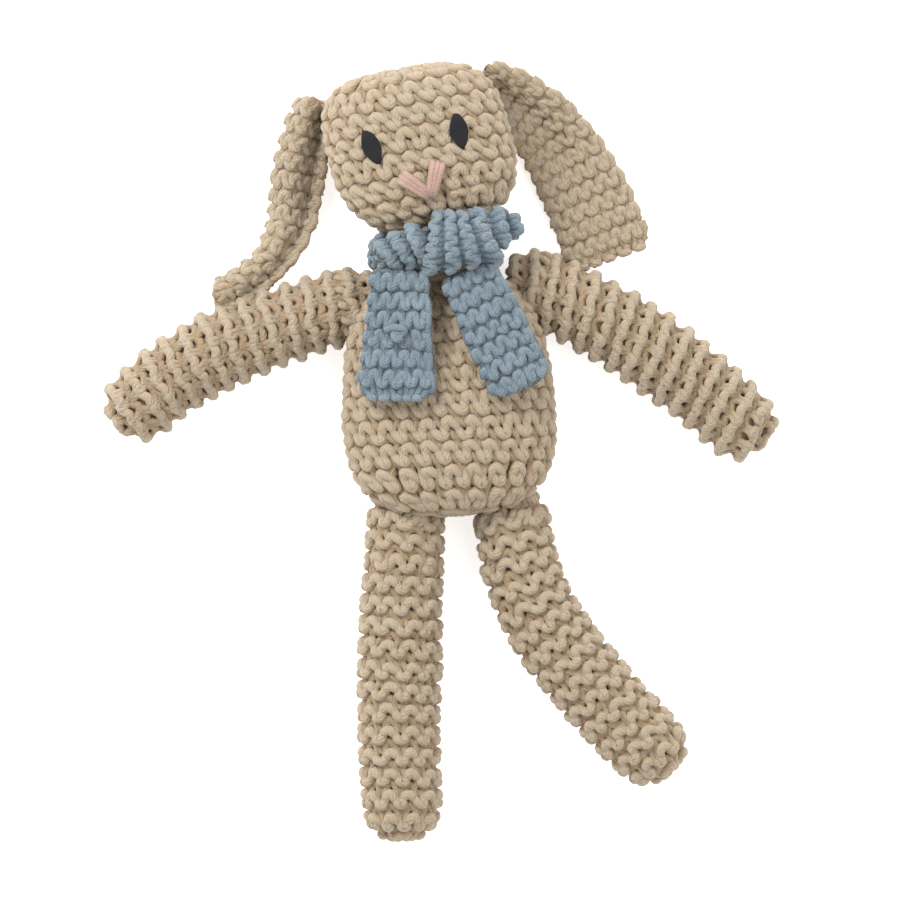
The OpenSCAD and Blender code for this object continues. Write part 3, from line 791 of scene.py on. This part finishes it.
# Its radius round the neck, how far its middle bows out beyond that, and its half width
WRAP_RADIUS = 14.6
WRAP_BOW = 4.2
WRAP_SPREAD = 5.0
turn = np.linspace(0, 2 * math.pi, GIRTH_POINTS + 1)
across = np.linspace(-1, 1, STRIP_POINTS)
right, left = np.clip(np.cos(turn), 0, 1), np.clip(-np.cos(turn), 0, 1)
radius = WRAP_RADIUS + 1.8 * left**3 + 2.2 * right**3
lift = 3.0 * right**2 - 0.6 * left**2
spread = WRAP_SPREAD - 1.4 * right**2
ruffle = 0.9 * np.sin(9 * turn)
bow = np.sqrt(1 - (0.92 * across) ** 2)
out = radius[:, None] + WRAP_BOW * bow[None] + 0.5 * np.sin(7 * turn)[:, None] * across[None]
along = spread[:, None] * across[None] + lift[:, None] + ruffle[:, None] * 0.6
x = out * np.cos(turn)[:, None]
z = out * np.sin(turn)[:, None] * 0.98
grid = np.stack([
    NECK[0] + x * math.cos(WRAP_TILT) - along * math.sin(WRAP_TILT),
    NECK[1] + x * math.sin(WRAP_TILT) + along * math.cos(WRAP_TILT),
    NECK[2] + z,
], 2)
count = np.linspace(0, GIRTH_POINTS, WRAP_ROWS * STRIP_PER_ROW + 1)
places = np.arange(GIRTH_POINTS + 1)
grid = np.stack([[np.interp(count, places, grid[:, j, k]) for j in range(STRIP_POINTS)] for k in range(3)], 2)
cloth = Cloth(grid.transpose(1, 0, 2)[:, ::-1], False, STRIP_PER_ROW)
neckwear = [*flat_piece("scarf_wrap", cloth, WRAP_ROWS, SCARF_GAUGE, 43, slot="scarf_yarn", body="torso",
                        node_name="scarf_wrap")]

# The band of the knot fans out downwards, a loop of the strip comes up into it from the left tail, and a
# ruffle of the strip sticks out of its far end
for name, line, headings, widths, height, gauge, seed in (
    ("scarf_knot", ((-4.0, 66.2), (16.5, 68.4)), (-16, 34), (8.8, 7.4), knot_height,
     {"row": 2.5, "loop": 2.2, "ends": 1.15}, 44),
    ("scarf_loop", ((-18.5, 61.5), (-5.0, 67.4)), (48, 20), (4.4, 4.4), loop_height,
     {"row": 2.6, "loop": 2.0, "ends": 1.4}, 45),
    ("scarf_ruffle", ((11.5, 69.4), (24.2, 72.9)), (22, 9), (7.2, 3.0), ruffle_height,
     {"row": 2.7, "loop": 2.1, "ends": 1.3}, 46),
):
    t = np.linspace(0, 1, SCARF_LINE_POINTS)
    start, end = np.array(line)
    points = start + (end - start) * t[:, None]
    turned = headings[0] + (headings[1] - headings[0]) * t
    half = widths[0] + (widths[1] - widths[0]) * t
    cloth, rows = strip_cloth(points, turned, half, height, gauge["row"])
    gauge = dict(SCARF_GAUGE, **gauge)
    neckwear += flat_piece(name, cloth, rows, gauge, seed, slot="scarf_yarn", body="torso",
                           node_name="scarf_knot")
for piece in neckwear:
    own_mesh(piece)

# A loose end of yarn on the left tail, over the height of the chest
YARN_END_LIFT = 6.0
YARN_END_RADIUS = 1.25
bends = smooth(np.array([
    (-17.4, 38.7), (-14.5, 39.5), (-11.4, 38.9), (-12.4, 37.3), (-14.6, 37.7), (-14.0, 35.8), (-12.3, 36.4),
]), 6)
wave = 0.5 * np.sin(np.linspace(0, 9, len(bends)))
over = front_of(TORSO, bends[:, 0], bends[:, 1], CHEST_REACH) + YARN_END_LIFT + wave
skein = Skein()
skein.lay(np.column_stack([bends, over]), np.tile(UP, (len(bends), 1)), YARN_END_RADIUS, False)
yarn_end = skein.mesh("scarf_yarn_end", BLUE)
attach(yarn_end, "scarf_left_tail")
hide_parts("scarf_left_tail")

# ---- Face ----

STRAND_POINTS = 13
# How far a strand starts its twist beyond the one before
STRAND_SHIFT = 7.0
# How far a strand of embroidery sinks into the knitting, and how much further at its two ends
SINK = 0.9
END_SINK = 2.2


def satin(name, at, heading, length, spread, strands, thick, yarn, node_name):
    """Straight strands of embroidery over the face. spread gives their places across it, along the way."""
    skein = Skein()
    a = math.radians(heading)
    t = np.linspace(0, 1, STRAND_POINTS)
    d = length * t
    for k in range(strands):
        off = spread(k / (strands - 1) * 2 - 1, t)
        x = at[0] + d * math.cos(a) - off * math.sin(a)
        y = at[1] + d * math.sin(a) + off * math.cos(a)
        z = front_of(HEAD, x, y) + thick / 2 - SINK - END_SINK * np.abs(2 * t - 1) ** 6
        skein.lay(np.stack([x, y, z], 1), np.tile(UP, (len(t), 1)), thick / 2, False, STRAND_SHIFT * k)
    o = skein.mesh(name, yarn)
    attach(o, "head")
    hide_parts(node_name)


def leaf(k, t):
    return k * 2.3 * (1 - (2 * t - 1) ** 2) ** 1.3 + 0.1 * k


def fan(k, t):
    return k * (0.8 + 0.7 * t)


HALF_EYE = 5.9
for name, at, heading in (("left_eye", (-21.8, 97.1), -67), ("right_eye", (6.1, 102.2), -79)):
    a = math.radians(heading)
    start = (at[0] - HALF_EYE * math.cos(a), at[1] - HALF_EYE * math.sin(a))
    satin(name + "_stitches", start, heading, 2 * HALF_EYE, leaf, strands=7, thick=1.15, yarn=CHARCOAL,
          node_name=name)

NOSE_LENGTH = 10.8
for name, start, heading in (("nose_left", (-3.4, 81.6), 146), ("nose_right", (-2.9, 81.4), 78)):
    satin(name + "_stitches", start, heading, NOSE_LENGTH, fan, strands=3, thick=2.3, yarn=PINK,
          node_name=name + "_stitch")

# ---- Neck and seams ----

# Rounds of yarn from inside the torso to inside the head, widest between them
NECK_REACH = 9
NECK_STEP = 2.25
NECK_RADIUS = 9.4
# How far along the neck its rounds would close in to nothing
NECK_END = 14
NECK_POINTS = 60
NECK_YARN_RADIUS = 1.5
turn = np.linspace(0, 2 * math.pi, NECK_POINTS, endpoint=False)
out = np.stack([np.cos(turn), np.zeros(NECK_POINTS), np.sin(turn)], 1)
skein = Skein()
for along in np.arange(-NECK_REACH, NECK_REACH + 1, NECK_STEP):
    radius = NECK_RADIUS * math.sqrt(1 - (along / NECK_END) ** 2)
    path = NECK + out * (radius + 0.4 * np.sin(9 * turn))[:, None] + np.array([0, 1, 0]) * along
    skein.lay(path, out, NECK_YARN_RADIUS, True)
neck = skein.mesh("neck_gathering", BEIGE)
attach(neck, "neck")
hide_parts("neck_gather")

# A wavy round of sewing yarn where each limb is sewn on: how many waves and points to each, how far it lies
# inside the limb's radius, and how far along the limb from its root
SEAM_WAVES = 13
WAVE_POINTS = 12
SEAM_INSET = 2.6
SEAM_PLACE = -3.6
SEAM_YARN_RADIUS = 1.25
turn = np.linspace(0, 2 * math.pi, SEAM_WAVES * WAVE_POINTS, endpoint=False)
weave = turn * SEAM_WAVES
for name, limb in LIMBS.items():
    side, kind = name.split("_")
    body = f"{side}_{'shoulder' if kind == 'arm' else 'hip'}"
    a = math.radians(limb["headings"][0])
    ahead, across_limb = np.array([math.cos(a), math.sin(a), 0]), np.array([math.sin(a), -math.cos(a), 0])
    middle = np.array([*limb["root"], limb["z"]])
    ring = limb["radii"][0] - SEAM_INSET
    out = np.cos(turn)[:, None] * UP + np.sin(turn)[:, None] * across_limb
    path = middle + out * (ring + 1.0 * np.cos(weave))[:, None]
    path = path + ahead * (SEAM_PLACE + 1.9 * np.sin(weave))[:, None]
    skein = Skein()
    skein.lay(path, out, SEAM_YARN_RADIUS, True)
    seam = skein.mesh(body + "_seam", BEIGE)
    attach(seam, body)
    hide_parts(body + "_seam")

# ---- Camera, floor and light ----

# From here on, places and sizes are in metres. A long lens far above the toy shows it with little perspective
CAMERA_PLACE = (0.0032, 0.0006, 4.0)
LENS = 497.5
camera = bpy.data.objects.new("camera", bpy.data.cameras.new("camera"))
bpy.context.scene.collection.objects.link(camera)
camera.data.lens = LENS
camera.data.sensor_width = 36
camera.data.clip_start = 0.01
camera.location = CAMERA_PLACE
bpy.context.scene.camera = camera

# The floor's half width, and its height, just under the toy
FLOOR_HALF = 3
FLOOR_Z = -0.0002
corners = [(x * FLOOR_HALF, y * FLOOR_HALF, FLOOR_Z) for x, y in ((-1, -1), (1, -1), (1, 1), (-1, 1))]
floor_mesh = bpy.data.meshes.new("floor")
floor_mesh.from_pydata(corners, [], [(0, 1, 2, 3)])
floor = bpy.data.objects.new("floor", floor_mesh)
bpy.context.scene.collection.objects.link(floor)
pale = bpy.data.materials.new("pale_floor")
pale.use_nodes = True
pale_shader = pale.node_tree.nodes["Principled BSDF"]
pale_shader.inputs["Base Color"].default_value = (0.93, 0.93, 0.93, 1)
pale_shader.inputs["Roughness"].default_value = 0.9
pale_shader.inputs["Specular IOR Level"].default_value = 0.0
pale_shader.inputs["Emission Color"].default_value = (1, 1, 1, 1)
pale_shader.inputs["Emission Strength"].default_value = 0.6
floor_mesh.materials.append(pale)

world = bpy.data.worlds.new("world")
world.use_nodes = True
world.node_tree.nodes["Background"].inputs[0].default_value = (1, 1, 1, 1)
world.node_tree.nodes["Background"].inputs[1].default_value = 0.8
bpy.context.scene.world = world
bpy.context.scene.view_settings.view_transform = "Standard"


def lamp(name, place, size, power):
    """A square lamp that faces the toy."""
    data = bpy.data.lights.new(name, "AREA")
    data.size = size
    data.energy = power
    o = bpy.data.objects.new(name, data)
    o.location = place
    o.rotation_euler = (-o.location).to_track_quat("-Z", "Y").to_euler()
    bpy.context.scene.collection.objects.link(o)


lamp("key", (-0.45, 0.6, 0.75), size=0.4, power=9)
lamp("fill", (0.5, 0.1, 1.0), size=0.7, power=4)

bpy.context.view_layer.update()
